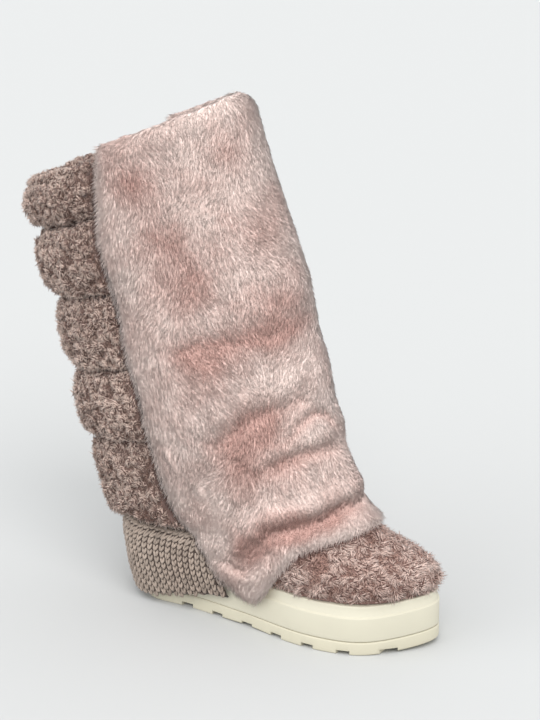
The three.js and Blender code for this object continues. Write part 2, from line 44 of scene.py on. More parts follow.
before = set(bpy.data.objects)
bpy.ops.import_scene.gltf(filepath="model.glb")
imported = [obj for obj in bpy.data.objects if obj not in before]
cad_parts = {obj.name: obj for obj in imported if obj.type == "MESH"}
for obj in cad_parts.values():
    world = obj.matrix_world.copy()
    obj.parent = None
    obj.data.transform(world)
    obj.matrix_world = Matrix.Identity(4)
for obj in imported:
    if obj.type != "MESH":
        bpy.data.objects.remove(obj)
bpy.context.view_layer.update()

MM = 0.001
BODY = "root"
ROLL_NODES = ["shaft_roll_1", "shaft_roll_2", "shaft_roll_3", "shaft_roll_4", "shaft_roll_5"]


def linear(red, green, blue):
    """A colour given as screen values from 0 to 255."""
    shares = [value / 255 for value in (red, green, blue)]
    return tuple(s / 12.92 if s < 0.04045 else ((s + 0.055) / 1.055) ** 2.4 for s in shares)


# Sizes and colours that a user would change


def length(name, description, millimetres):
    return FloatProperty(name=name, description=description, default=millimetres * MM, unit="LENGTH")


def amount(name, description, default):
    return FloatProperty(name=name, description=description, default=default)


def paint(name, description, red, green, blue):
    return FloatVectorProperty(
        name=name, description=description, subtype="COLOR", default=linear(red, green, blue)
    )


class FurSettings(PropertyGroup):
    pile: length("Pile height", "How far the plush stands off its skin", 1.7)
    strand: length("Strand length", "Length of one lock of plush", 7.2)
    width: length("Strand width", "Width of one lock at its root", 0.78)
    density: amount("Strands per square metre", "How close the locks stand", 0.66e6)
    # Root colour: painted shade down in the plush, at the roots of the locks.
    root: paint("Root colour", "Shade down in the plush", 247, 220, 210)
    middle: paint("Middle colour", "Shade half way up a lock", 252, 229, 219)
    tip: paint("Tip colour", "Pale ends of the locks", 252, 233, 224)
    # Streak colour: painted shade between the strands, laid on as fine streaks.
    deep: paint("Streak colour", "Shade of the fine streaks in the plush", 168, 128, 120)
    # Rose colour: tints the rose patches of the plush and paints shade into the hollows of its folds.
    rose: paint("Rose patches", "Tint of the rubbed patches and hollows", 222, 198, 194)


class RollSettings(PropertyGroup):
    pile: length("Pile height", "How far the wool stands off the rolls", 1.5)
    clump: length("Clump size", "Width of one clump of wool", 10)
    strand: length("Lock length", "Length of one lock of wool", 5.0)
    width: length("Lock width", "Width of one lock of wool", 1.35)
    density: amount("Locks per square metre", "How close the locks stand", 0.54e6)
    # Deep colour: painted shade between the clumps and at the roots of the locks.
    root: paint("Deep colour", "Shade between the clumps", 112, 88, 80)
    middle: paint("Wool colour", "Shade on the sides of the locks", 226, 200, 186)
    tip: paint("Tip colour", "Shade at the ends of the locks", 242, 220, 207)
    toe_middle: paint("Toe colour", "Wool over the toe", 240, 212, 200)
    toe_tip: paint("Toe tip colour", "Ends of the locks over the toe", 250, 230, 220)


class KnitSettings(PropertyGroup):
    wale: length("Wale pitch", "Distance between columns of stitches", 6.0)
    course: length("Course pitch", "Distance between rows of stitches", 5.3)
    sunk: length("Ground depth", "How far the ground lies under the stitches", 3.0)
    yarn: paint("Yarn colour", "Colour of the knit", 168, 153, 141)
    # Ground colour: painted shade down between the stitches and where the yarn tucks under.
    shade: paint("Ground colour", "Colour down between the stitches", 66, 56, 51)


class SoleSettings(PropertyGroup):
    tread_height: length("Tread height", "Height of the tread layer", 12)
    ledge: length("Ledge height", "Height of the step under the rim", 35)
    top: length("Platform height", "Height of the platform's top", 45)
    columns: IntProperty(
        name="Outline points", description="Points round the sole's outline", default=240
    )
    wall: paint("Platform colour", "Colour of the platform's wall", 206, 201, 182)
    tread: paint("Tread colour", "Colour of the tread", 204, 198, 177)


# Meshes and numbers

MERGE_WITHIN = 1e-5
TINY = 1e-9
RIPPLE_PITCH = (0.7, 1.6)
RIPPLE_RANGE = 0.9
CLUMP_JITTER, CLUMP_EDGE, CLUMP_SPLAY = 0.12, 0.38, 0.5
PAD_TURNED, PAD_CLEAR = (-0.1, 0.35), (0.6 * MM, 2.5 * MM)


def to_scene(mesh, name):
    piece = bpy.data.objects.new(name, mesh)
    bpy.context.scene.collection.objects.link(piece)
    return piece


def meshed(name, work):
    """A new mesh from a bmesh, which is let go."""
    mesh = bpy.data.meshes.new(name)
    work.to_mesh(mesh)
    work.free()
    return mesh


def mesh_from(name, points, faces):
    mesh = bpy.data.meshes.new(name)
    mesh.from_pydata([tuple(p) for p in points], [], [tuple(f) for f in faces])
    mesh.validate()
    return mesh


def merged_copy(node, name):
    """A copy of a frame node with its loose triangles joined."""
    work = bmesh.new()
    work.from_mesh(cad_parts[node].data)
    bmesh.ops.remove_doubles(work, verts=work.verts, dist=MERGE_WITHIN)
    return meshed(name, work)


def worked_out(piece):
    """A new mesh of the piece as its modifiers leave it."""
    graph = bpy.context.evaluated_depsgraph_get()
    graph.update()
    return bpy.data.meshes.new_from_object(
        piece.evaluated_get(graph), preserve_all_data_layers=True, depsgraph=graph
    )


def settle(piece):
    """Works the piece's modifiers into its mesh."""
    mesh = worked_out(piece)
    piece.modifiers.clear()
    piece.data = mesh


def soft_copy(node, name, voxel):
    """An even, rounded skin over a frame node."""
    piece = to_scene(merged_copy(node, name), name)
    remesh = piece.modifiers.new("even", "REMESH")
    remesh.mode = "VOXEL"
    remesh.voxel_size = voxel
    remesh.use_smooth_shade = True
    soften = piece.modifiers.new("round", "SMOOTH")
    soften.factor = 0.5
    soften.iterations = 2
    settle(piece)
    return piece


def vertex_rows(mesh, field):
    flat = np.empty(len(mesh.vertices) * 3)
    mesh.vertices.foreach_get(field, flat)
    return flat.reshape(-1, 3)


def points_and_normals(piece):
    return vertex_rows(piece.data, "co"), vertex_rows(piece.data, "normal")


def put_points(mesh, points):
    mesh.vertices.foreach_set("co", np.ascontiguousarray(points).ravel())
    mesh.update()


def put_attribute(mesh, name, values):
    """Stores one number or one vector for each point."""
    values = np.asarray(values, dtype=np.float32)
    if name in mesh.attributes:
        mesh.attributes.remove(mesh.attributes[name])
    kind, field = ("FLOAT_VECTOR", "vector") if values.ndim == 2 else ("FLOAT", "value")
    mesh.attributes.new(name, kind, "POINT").data.foreach_set(field, values.ravel())


def put_material(piece, finish):
    piece.data.materials.clear()
    piece.data.materials.append(finish)
    piece.data.shade_smooth()


def step(low, high, values):
    share = np.clip((values - low) / (high - low), 0, 1)
    return share * share * (3 - 2 * share)


def unit(vectors):
    return vectors / np.maximum(np.linalg.norm(vectors, axis=1, keepdims=True), TINY)


def ripples(points, size, seed, waves=9):
    """Smooth random values from about -1 to 1 that change over the given size."""
    draw = np.random.default_rng(seed)
    value = np.zeros(len(points))
    for _ in range(waves):
        heading = unit(draw.normal(size=(1, 3)))[0]
        turns = 2 * math.pi / (size * draw.uniform(*RIPPLE_PITCH))
        value += np.sin(points @ heading * turns + draw.uniform(0, 2 * math.pi))
    return value / math.sqrt(waves) * RIPPLE_RANGE


def near_tree(points):
    """A search tree over points."""
    tree = KDTree(len(points))
    for i, p in enumerate(points):
        tree.insert(p, i)
    tree.balance()
    return tree


def layered(points, layers):
    """Ripples laid over each other, from rows of height, size in metres and seed."""
    return sum(height * ripples(points, size, seed) for height, size, seed in layers)


def clumps(points, normals, size, seed):
    """Parts a skin into clumps.

    Gives each point's rise from 0 in a gap to 1 on a clump, and the way round the clump.
    """
    draw = np.random.default_rng(seed)
    order = draw.permutation(len(points))
    cells = np.floor(points[order] / size + draw.uniform(size=3)).astype(int)
    _, first = np.unique(cells, axis=0, return_index=True)
    middles = points[order[first]] + draw.normal(size=(len(first), 3)) * size * CLUMP_JITTER
    tree = near_tree(middles)
    gaps = np.empty((len(points), 2))
    away = np.empty_like(points)
    for i, p in enumerate(points):
        near, other = tree.find_n(p, 2)
        gaps[i] = near[2], other[2]
        away[i] = p - np.array(near[0])
    away = unit(away - normals * (away * normals).sum(1, keepdims=True))
    rise = step(0, CLUMP_EDGE * size, gaps[:, 1] - gaps[:, 0])
    return rise, unit(CLUMP_SPLAY * away + np.cross(normals, away))


def closeness(points, chosen, reach):
    """1 at the chosen points, fading to 0 with distance from them."""
    tree = near_tree(points[chosen])
    gaps = np.array([tree.find(p)[2] for p in points])
    return np.exp(-((gaps / reach) ** 2))


def surface_of(*names):
    """A search tree over some frame nodes or pieces."""
    points, faces = [], []
    for name in names:
        mesh = (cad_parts.get(name) or bpy.data.objects[name]).data
        start = len(points)
        points += [v.co.copy() for v in mesh.vertices]
        faces += [[start + i for i in f.vertices] for f in mesh.polygons]
    return BVHTree.FromPolygons(points, faces)


def facing_away(points, normals, tree):
    """How far each point is from a surface, and whether its face looks away from it."""
    distance = np.empty(len(points))
    away = np.empty_like(points)
    for i, p in enumerate(points):
        near, _, _, gap = tree.find_nearest(Vector(p))
        distance[i] = gap
        away[i] = (Vector(p) - near) / max(gap, TINY)
    return distance, (away * normals).sum(1)


def outer_side(points, normals, tree):
    """1 on the face of a pad that looks away from what it lies on, 0 on its underside."""
    gap, away = facing_away(points, normals, tree)
    return step(*PAD_TURNED, away) * step(*PAD_CLEAR, gap)


# Node trees


def pick(sockets, key):
    if isinstance(key, int):
        return sockets[key]
    return next(s for s in sockets if s.name == key and s.enabled)


def add(tree, kind, inputs=None, **options):
    """Adds a node, sets its options, and gives its inputs values or links."""
    node = tree.nodes.new(kind)
    for key, value in options.items():
        setattr(node, key, value)
    for key, value in (inputs or {}).items():
        socket = pick(node.inputs, key)
        if isinstance(value, bpy.types.NodeSocket):
            tree.links.new(value, socket)
        else:
            socket.default_value = value
    return node


def out(node, key=0):
    if key == 0:
        return next(s for s in node.outputs if s.enabled)
    return pick(node.outputs, key)


def sums(tree, operation, *values, clamp=False):
    """A maths node over its values, in order."""
    inputs = dict(enumerate(values))
    return out(add(tree, "ShaderNodeMath", inputs, operation=operation, use_clamp=clamp))


def vector_sums(tree, operation, inputs):
    return out(add(tree, "ShaderNodeVectorMath", inputs, operation=operation))


def named(tree, name, kind="FLOAT_VECTOR"):
    return out(add(tree, "GeometryNodeInputNamedAttribute", {"Name": name}, data_type=kind))


def drawn(tree, low, high, seed, kind="FLOAT"):
    """A random value for each point."""
    inputs = {"Min": low, "Max": high, "Seed": seed}
    return out(add(tree, "FunctionNodeRandomValue", inputs, data_type=kind))


def any_way(tree, seed):
    """A random vector for each point, from -1 to 1 each way."""
    return drawn(tree, (-1, -1, -1), (1, 1, 1), seed, "FLOAT_VECTOR")


def new_tree(name, inputs):
    """An empty tree that takes a mesh and the named inputs and gives a mesh."""
    tree = bpy.data.node_groups.new(name, "GeometryNodeTree")
    for way in ("INPUT", "OUTPUT"):
        tree.interface.new_socket("Geometry", in_out=way, socket_type="NodeSocketGeometry")
    for title, kind in inputs.items():
        tree.interface.new_socket(title, in_out="INPUT", socket_type="NodeSocket" + kind)
    return tree, tree.nodes.new("NodeGroupInput"), tree.nodes.new("NodeGroupOutput")


def place_shapes(tree, source, result, finish, points, rotation, scale, seed):
    """Puts a shape on every point, each with a tint of its own, as real mesh with a finish."""
    shape = add(tree, "GeometryNodeObjectInfo", {"Object": source})
    placed = add(tree, "GeometryNodeInstanceOnPoints", {
        "Points": points,
        "Instance": out(shape, "Geometry"),
        "Rotation": rotation,
        "Scale": scale,
    })
    tinted = add(
        tree, "GeometryNodeStoreNamedAttribute",
        {"Geometry": out(placed), "Name": "tint", "Value": drawn(tree, 0.0, 1.0, seed)},
        data_type="FLOAT", domain="INSTANCE",
    )
    real = add(tree, "GeometryNodeRealizeInstances", {"Geometry": out(tinted)})
    painted = add(tree, "GeometryNodeSetMaterial", {"Geometry": out(real), "Material": finish})
    tree.links.new(out(painted), result.inputs[0])


def pile_tree():
    """Sets locks on random points of a skin, leaning along the skin's lay."""
    if "pile" in bpy.data.node_groups:
        return bpy.data.node_groups["pile"]
    tree, given, result = new_tree("pile", {
        "Lock": "Object", "Density": "Float", "Spread": "Float", "Smallest": "Float",
        "Largest": "Float", "Seed": "Int", "Finish": "Material",
    })
    asked = given.outputs
    wanted = sums(tree, "MULTIPLY", asked["Density"], named(tree, "keep", "FLOAT"))
    spots = add(
        tree, "GeometryNodeDistributePointsOnFaces",
        {"Mesh": asked["Geometry"], "Density": wanted, "Seed": asked["Seed"]},
        distribute_method="RANDOM",
    )
    ground = add(
        tree, "GeometryNodeStoreNamedAttribute",
        {"Geometry": out(spots, "Points"), "Name": "base_normal", "Value": out(spots, "Normal")},
        data_type="FLOAT_VECTOR", domain="POINT",
    )
    lean = vector_sums(tree, "SCALE", {0: any_way(tree, 11), "Scale": asked["Spread"]})
    heading = vector_sums(tree, "ADD", {0: named(tree, "lay"), 1: lean})
    aimed = add(tree, "FunctionNodeAlignRotationToVector", {"Vector": heading}, axis="Z")
    turn = drawn(tree, 0.0, 2 * math.pi, 23)
    roll = add(tree, "FunctionNodeAxisAngleToRotation", {"Axis": (0, 0, 1), "Angle": turn})
    turned = add(
        tree, "FunctionNodeRotateRotation", {"Rotation": out(aimed), "Rotate By": out(roll)},
        rotation_space="LOCAL",
    )
    size = drawn(tree, asked["Smallest"], asked["Largest"], 37)
    tall = sums(tree, "MULTIPLY", size, named(tree, "long", "FLOAT"))
    scale = add(tree, "ShaderNodeCombineXYZ", {"X": size, "Y": size, "Z": tall})
    place_shapes(tree, asked["Lock"], result, asked["Finish"], out(ground), out(turned), out(scale), 51)
    return tree


def stitch_tree():
    """Sets one stitch on every point of a cloud, standing on its ground and along its wale."""
    tree, given, result = new_tree(
        "stitches", {"Stitch": "Object", "Uneven": "Float", "Finish": "Material"}
    )
    asked = given.outputs
    spots = add(tree, "GeometryNodeMeshToPoints", {"Mesh": asked["Geometry"]})
    turned = add(
        tree, "FunctionNodeAxesToRotation",
        {"Primary Axis": named(tree, "ground"), "Secondary Axis": named(tree, "wale")},
        primary_axis="Z", secondary_axis="Y",
    )
    share = vector_sums(tree, "SCALE", {0: any_way(tree, 5), "Scale": asked["Uneven"]})
    size = vector_sums(tree, "ADD", {0: share, 1: named(tree, "size")})
    place_shapes(tree, asked["Stitch"], result, asked["Finish"], out(spots), out(turned), size, 9)
    return tree


KEPT_ATTRIBUTES = {"tip", "tint", "rose", "pale", "base_normal"}


def grown(base, tree, name, finish, **inputs):
    """Runs a node tree on a piece and returns what it makes as a plain mesh piece."""
    modifier = base.modifiers.new(tree.name, "NODES")
    modifier.node_group = tree
    inputs["Finish"] = finish
    for item in tree.interface.items_tree:
        if item.item_type == "SOCKET" and item.in_out == "INPUT" and item.name in inputs:
            modifier[item.identifier] = inputs[item.name]
    base.update_tag()
    mesh = worked_out(base)
    base.modifiers.remove(modifier)
    mesh.name = name
    for kind in [a.name for a in mesh.attributes]:
        found = mesh.attributes.get(kind)
        spare = kind not in KEPT_ATTRIBUTES and not kind.startswith(".")
        if found and spare and not found.is_required:
            mesh.attributes.remove(found)
    piece = to_scene(mesh, name)
    put_material(piece, finish)
    if not mesh.polygons:
        raise RuntimeError(name + " came out empty")
    return piece


def stays(piece, slot, *nodes, fill=None):
    """Says what a finished piece rides on and stands for."""
    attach(piece, BODY)
    if nodes:
        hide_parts(*nodes)


# Locks and stitches that the trees repeat

LOCK_SUNK = 0.1
STITCH_RINGS, STITCH_SIDES = 5, 5
LEG_FOOT, LEG_SPREAD = 0.06, 0.22
LEG_START, LEG_RUN = -0.52, 1.08
LEG_LIFT, LEG_DROP, LEG_BEND = 0.22, 0.5, 1.3
YARN_THIN, YARN_SWELL = 0.13, 0.10
SHADE_DROP, SHADE_FOOT, FOOT_SHARE, SHADE_ROUND = 0.95, 0.3, 0.1, 0.12
ROUGHLY_ACROSS = (0.02, 1, 0.03)


def thorn(name, tall, width):
    """One lock: a closed thorn with its root sunk a little."""
    corners = (0, 2 * math.pi / 3, 4 * math.pi / 3)
    points = [(width / 2 * math.cos(a), width / 2 * math.sin(a), -LOCK_SUNK * tall) for a in corners]
    points.append((0, 0, (1 - LOCK_SUNK) * tall))
    mesh = mesh_from(name, points, [(0, 2, 1), (0, 1, 3), (1, 2, 3), (2, 0, 3)])
    put_attribute(mesh, "tip", [0, 0, 0, 1])
    return mesh


def tube(name, path, radii, sides, painted_light):
    """A closed tube along a path of points."""
    path = np.array(path)
    ahead = unit(np.gradient(path, axis=0))
    side = unit(np.cross(ahead, ROUGHLY_ACROSS))
    lift = unit(np.cross(side, ahead))
    points, faces, values = [], [], []
    for i in range(len(path)):
        for k in range(sides):
            angle = 2 * math.pi * k / sides
            points.append(path[i] + radii[i] * (math.cos(angle) * side[i] + math.sin(angle) * lift[i]))
            # Painted shade round the yarn: each ring is lighter on one side and darker on the other.
            values.append(painted_light[i] + SHADE_ROUND * math.sin(angle))
    for i in range(len(path) - 1):
        for k in range(sides):
            m = (k + 1) % sides
            faces.append((i * sides + k, i * sides + m, (i + 1) * sides + m, (i + 1) * sides + k))
    faces.append(tuple(range(sides))[::-1])
    faces.append(tuple((len(path) - 1) * sides + k for k in range(sides)))
    mesh = mesh_from(name, points, faces)
    fixed = bmesh.new()
    fixed.from_mesh(mesh)
    bmesh.ops.recalc_face_normals(fixed, faces=fixed.faces)
    fixed.to_mesh(mesh)
    fixed.free()
    put_attribute(mesh, "tip", np.clip(values, 0, 1))
    return mesh


def knit_stitch(wale, course):
    """One stitch: two fat legs that meet in a V, with painted shade where each leg dips under, at its foot
    and round its side.
    """
    work = bmesh.new()
    for hand in (-1, 1):
        path, radii, painted_light = [], [], []
        for i in range(STITCH_RINGS):
            share = i / (STITCH_RINGS - 1)
            bend = share ** LEG_BEND
            path.append((
                hand * wale * (LEG_FOOT + LEG_SPREAD * math.sin(share * math.pi * 0.5)),
                course * (LEG_START + LEG_RUN * share),
                course * (LEG_LIFT - LEG_DROP * bend),
            ))
            radii.append(wale * (YARN_THIN + YARN_SWELL * math.sin(math.pi * share)))
            painted_light.append(1.0 - SHADE_DROP * bend - SHADE_FOOT * (share < FOOT_SHARE))
        work.from_mesh(tube("leg", path, radii, STITCH_SIDES, painted_light))
    return meshed("stitch", work)


def unshown(name, mesh):
    """A repeated shape that the trees read, which isn't itself in the scene."""
    return bpy.data.objects.new(name, mesh)


# Finishes

PATCH_SIZE, PATCH_FROM, PATCH_FULL, PATCH_STRENGTH = 0.045, 0.42, 0.72, 0.5
STREAK_SIZE, STREAK_FULL, STREAK_NONE = 0.0009, 0.34, 0.5
STREAK_STRETCH = (1, 1, 0.22)
STREAKS_IN_ROSE_AND_SHADE = 0.75
PALE_STRENGTH = 0.75
MIDDLE_AT = 0.4


def shader(name):
    material = bpy.data.materials.new(name)
    material.use_nodes = True
    tree = material.node_tree
    return material, tree, tree.nodes["Principled BSDF"]


def set_inputs(node, **values):
    """Gives inputs their values, by their names with underscores for spaces."""
    for name, value in values.items():
        node.inputs[name.replace("_", " ")].default_value = value


def attribute(tree, name, part="Fac"):
    return add(tree, "ShaderNodeAttribute", attribute_name=name).outputs[part]


def mixed(tree, share, first, second, blend="MIX"):
    inputs = {"Factor": share, "A": first, "B": second}
    return out(add(tree, "ShaderNodeMix", inputs, data_type="RGBA", blend_type=blend))


def ranged(tree, value, start, end, low, high):
    """Carries a value from one range over to another."""
    inputs = {"Value": value, "From Min": start, "From Max": end, "To Min": low, "To Max": high}
    return out(add(tree, "ShaderNodeMapRange", inputs))


def opaque(colour):
    return (*colour[:3], 1.0)


def noise_at(tree, size, detail=2.0, stretch=(1, 1, 1)):
    place = add(tree, "ShaderNodeTexCoord")
    turned = add(tree, "ShaderNodeMapping", {"Vector": place.outputs["Object"], "Scale": stretch})
    inputs = {"Vector": out(turned), "Scale": 1 / size, "Detail": detail}
    return out(add(tree, "ShaderNodeTexNoise", inputs))


def add_bump(tree, principled, height, distance, strength):
    raised = add(tree, "ShaderNodeBump", {"Height": height, "Distance": distance, "Strength": strength})
    tree.links.new(out(raised), principled.inputs["Normal"])


def pile_finish(name, root, middle, tip, rose, deep, follow, sheen, streaks, uneven=0.16):
    """Wool or plush: painted shade at the root, pale at the tip, with soft patches of tone, rose tone and
    painted shade in hollows and gaps, and fine streaks of painted shade.

    The share to follow says how far the light sees the skin's face and not each lock's own.
    """
    material, tree, principled = shader(name)
    # Root to tip: the root colour is painted shade down in the pile.
    ramp = add(tree, "ShaderNodeValToRGB", {"Fac": attribute(tree, "tip")})
    ramp.color_ramp.elements[0].color = opaque(root)
    ramp.color_ramp.elements[1].color = opaque(tip)
    ramp.color_ramp.elements.new(MIDDLE_AT).color = opaque(middle)
    patch = ranged(tree, noise_at(tree, PATCH_SIZE, 3.0), PATCH_FROM, PATCH_FULL, 0.0, PATCH_STRENGTH)
    # Rose tone and painted shade from the skin, added to soft random patches of tone; there the colour is
    # multiplied by the given tint.
    rosy_and_shaded = sums(tree, "ADD", attribute(tree, "rose"), patch, clamp=True)
    rose_and_shade_colour = mixed(tree, 1.0, out(ramp), opaque(rose), "MULTIPLY")
    colour = mixed(tree, rosy_and_shaded, out(ramp), rose_and_shade_colour)
    spread = ranged(tree, attribute(tree, "tint"), 0.0, 1.0, 1 - uneven, 1 + 0.9 * uneven)
    edged = sums(tree, "MULTIPLY", attribute(tree, "pale"), PALE_STRENGTH)
    colour = mixed(tree, edged, colour, opaque(tip))
    # Fine streaks of painted shade between the strands, stronger where the rose tone and painted shade are.
    grain = noise_at(tree, STREAK_SIZE, 1.0, STREAK_STRETCH)
    streak = ranged(tree, grain, STREAK_FULL, STREAK_NONE, 1.0, 0.0)
    strength = sums(tree, "MULTIPLY_ADD", rosy_and_shaded, STREAKS_IN_ROSE_AND_SHADE, streaks, clamp=True)
    colour = mixed(tree, sums(tree, "MULTIPLY", streak, strength), colour, opaque(deep))
    lit = vector_sums(tree, "SCALE", {0: colour, "Scale": spread})
    tree.links.new(lit, principled.inputs["Base Color"])
    bare = add(tree, "ShaderNodeNewGeometry").outputs["Normal"]
    skin = attribute(tree, "base_normal", "Vector")
    eased = add(tree, "ShaderNodeMix", {"Factor": follow, "A": bare, "B": skin}, data_type="VECTOR")
    facing = vector_sums(tree, "NORMALIZE", {0: out(eased)})
    tree.links.new(facing, principled.inputs["Normal"])
    set_inputs(principled, Roughness=0.95, Specular_IOR_Level=0.1, Sheen_Weight=sheen)
    return material


def ground_finish(name, low, high, size, bump):
    """Short felted ground: two close shades and a fine bump."""
    material, tree, principled = shader(name)
    grain = noise_at(tree, size, 4.0)
    tree.links.new(mixed(tree, grain, opaque(low), opaque(high)), principled.inputs["Base Color"])
    add_bump(tree, principled, grain, bump, 0.8)
    set_inputs(principled, Roughness=0.95, Specular_IOR_Level=0.15, Sheen_Weight=0.2)
    return material


def rubber_finish(name, colour):
    """Matt moulded rubber, a little uneven in shade."""
    material, tree, principled = shader(name)
    pale = [min(1.0, c * 1.03) for c in colour]
    deep = [c * 0.96 for c in colour]
    cloud = noise_at(tree, 0.03)
    tree.links.new(mixed(tree, cloud, opaque(deep), opaque(pale)), principled.inputs["Base Color"])
    add_bump(tree, principled, noise_at(tree, 0.0008), 0.00005, 0.4)
    set_inputs(principled, Roughness=0.55, Specular_IOR_Level=0.35)
    return material


# Sole, from the same outline as the frame, in millimetres

SOLE_LENGTH = 285
HEEL_CENTRE = 42
OUTLINE_AT = [12, 42, 115, 190, 205, 250, 277]
OUTLINE_HALF = {
    "lateral": [27.7, 35.5, 44.5, 58, 58, 44.9, 18],
    "medial": [28.9, 37, 38.5, 49, 51, 40.6, 20],
}
WIDEST = {"lateral": 59, "medial": 51}
END_FULLNESS = (70, 50)
TOE_SHIFT, TOE_SHIFT_START = 6, 190
TOE_SPRING, TOE_SPRING_START = 5, 236
HEEL_BEVEL, HEEL_BEVEL_LENGTH = 3, 14
WAIST_ARCH, WAIST_START, WAIST_END = 1.2, 85, 160
CHANNEL_WIDTH, CHANNEL_DEPTH = 12, 4
CHANNELS_AT = [58 + 33.5 * i for i in range(7)]
SOLE_GAP = 0.3
TREAD_ROUND, LEDGE_ROUND, RIM_ROUND = 1.6, 1.5, 1.4
RIM_INSET, RIM_FOOT = 2.0, 0.4
EDGE_STEPS = 4


def smooth_table(at, keys, values):
    """Reads a table with a smooth curve through its rows."""
    keys, values = np.array(keys, float), np.array(values, float)
    slopes = np.gradient(values, keys)
    i = int(np.clip(np.searchsorted(keys, at) - 1, 0, len(keys) - 2))
    span = keys[i + 1] - keys[i]
    t = (at - keys[i]) / span
    return (
        (2 * t**3 - 3 * t**2 + 1) * values[i] + (t**3 - 2 * t**2 + t) * span * slopes[i]
        + (3 * t**2 - 2 * t**3) * values[i + 1] + (t**3 - t**2) * span * slopes[i + 1]
    )


def toe_spring(x):
    return TOE_SPRING * max(0, (x - TOE_SPRING_START) / (SOLE_LENGTH - TOE_SPRING_START)) ** 2


def tread_lift(x):
    heel = HEEL_BEVEL * max(0, 1 - x / HEEL_BEVEL_LENGTH)
    arch = WAIST_ARCH * math.sin(math.pi * (x - WAIST_START) / (WAIST_END - WAIST_START))
    return heel + (arch if WAIST_START < x < WAIST_END else 0)


def sole_loop(height, inset, on_floor, columns):
    loop = []
    for i in range(columns):
        angle = 2 * math.pi * i / columns
        along = math.cos(angle)
        side = "medial" if math.sin(angle) > 0 else "lateral"
        shares = [2 * at / SOLE_LENGTH - 1 for at in OUTLINE_AT]
        full = [half / math.sqrt(1 - c * c) for half, c in zip(OUTLINE_HALF[side], shares)]
        width = smooth_table(along, [-1, *shares, 1], [END_FULLNESS[0], *full, END_FULLNESS[1]])
        x = SOLE_LENGTH / 2 + (SOLE_LENGTH / 2 - inset) * along
        shift = TOE_SHIFT * max(0, (x - TOE_SHIFT_START) / (SOLE_LENGTH - TOE_SHIFT_START)) ** 2
        y = math.sin(angle) * width * (1 - inset / WIDEST[side]) + shift
        z = height + toe_spring(x) + (tread_lift(x) if on_floor else 0)
        loop.append(((x - HEEL_CENTRE) * MM, y * MM, z * MM))
    return loop


def stacked(name, loops):
    """A closed solid from a stack of loops, with ladders of faces across its ends."""
    count = len(loops[0])
    points = [p for loop in loops for p in loop]
    faces = []
    for k in range(len(loops) - 1):
        for i in range(count):
            m = (i + 1) % count
            faces.append((k * count + i, k * count + m, (k + 1) * count + m, (k + 1) * count + i))
    for k, turn in ((0, True), (len(loops) - 1, False)):
        for i in range(count // 2):
            ladder = dict.fromkeys((i, i + 1, (count - i - 1) % count, (count - i) % count))
            face = tuple(k * count + j for j in ladder)
            faces.append(face[::-1] if turn else face)
    return mesh_from(name, points, faces)


def rounded(low, high, inset, radius, on_floor, columns):
    """Two stacks of loops: the rounded lower edge of a wall and its rounded upper edge."""
    angles = [math.pi / 2 * i / EDGE_STEPS for i in range(EDGE_STEPS + 1)]
    edge = [(radius * (1 - math.sin(a)), inset + radius * (1 - math.cos(a))) for a in angles]
    lower = [sole_loop(low + off, pulled, on_floor, columns) for off, pulled in edge[::-1]]
    upper = [sole_loop(high - off, pulled, False, columns) for off, pulled in edge]
    return lower, upper


class BOOT_OT_sole(Operator):
    """Makes the tread with its channels and the platform with its ledge and rim"""

    bl_idname = "boot.sole"
    bl_label = "Platform sole"

    def execute(self, context):
        kit = context.scene.boot_sole
        columns = kit.columns
        tread_top = kit.tread_height / MM
        ledge = kit.ledge / MM
        top = kit.top / MM
        bottom, upper = rounded(0, tread_top, 0, TREAD_ROUND, True, columns)
        tread = to_scene(stacked("tread", bottom + upper), "tread")
        cut_channels(tread)
        tread.data.materials.append(rubber_finish("tread_rubber", kit.tread))
        stays(tread, "tread_rubber", "outsole")
        lower, wall = rounded(tread_top + SOLE_GAP, ledge, 0, LEDGE_ROUND, False, columns)
        rim_foot = sole_loop(ledge + RIM_FOOT, RIM_INSET, False, columns)
        _, rim = rounded(ledge, top, RIM_INSET, RIM_ROUND, False, columns)
        platform = to_scene(stacked("platform", [*lower, *wall[:-1], rim_foot, *rim]), "platform")
        put_material(platform, rubber_finish("platform_rubber", kit.wall))
        stays(platform, "platform_rubber", "midsole")
        return {"FINISHED"}


def cut_channels(tread):
    """Cuts the cross channels out of the tread and breaks their edges."""
    work = bmesh.new()
    reach, below = 70, 6
    for at in CHANNELS_AT:
        top = toe_spring(at) + CHANNEL_DEPTH
        box = bmesh.ops.create_cube(work, size=1)["verts"]
        bmesh.ops.scale(work, verts=box, vec=(CHANNEL_WIDTH * MM, 2 * reach * MM, (top + below) * MM))
        bmesh.ops.translate(work, verts=box, vec=((at - HEEL_CENTRE) * MM, 0, (top - below) / 2 * MM))
    cutter = to_scene(meshed("channels", work), "channels")
    cut = tread.modifiers.new("channels", "BOOLEAN")
    cut.operation = "DIFFERENCE"
    cut.solver = "EXACT"
    cut.object = cutter
    ease = tread.modifiers.new("ease", "BEVEL")
    ease.width = 0.6 * MM
    ease.segments = 2
    ease.limit_method = "ANGLE"
    ease.angle_limit = math.radians(50)
    settle(tread)
    bpy.data.objects.remove(cutter)
    tread.data.shade_smooth()
    tread.data.set_sharp_from_angle(angle=math.radians(40))


# Wool, on the toe and on the rolls

WOOL_FOLLOW, WOOL_SHEEN = 0.5, 0.3
WOOL_SPREAD, WOOL_SMALLEST = 0.28, 0.7
SHORTEST_WOOL = 0.7
SHADE_FALL, SHADE_CLOUD, SHADE_CLOUD_SIZE = 1.5, 0.15, 0.03


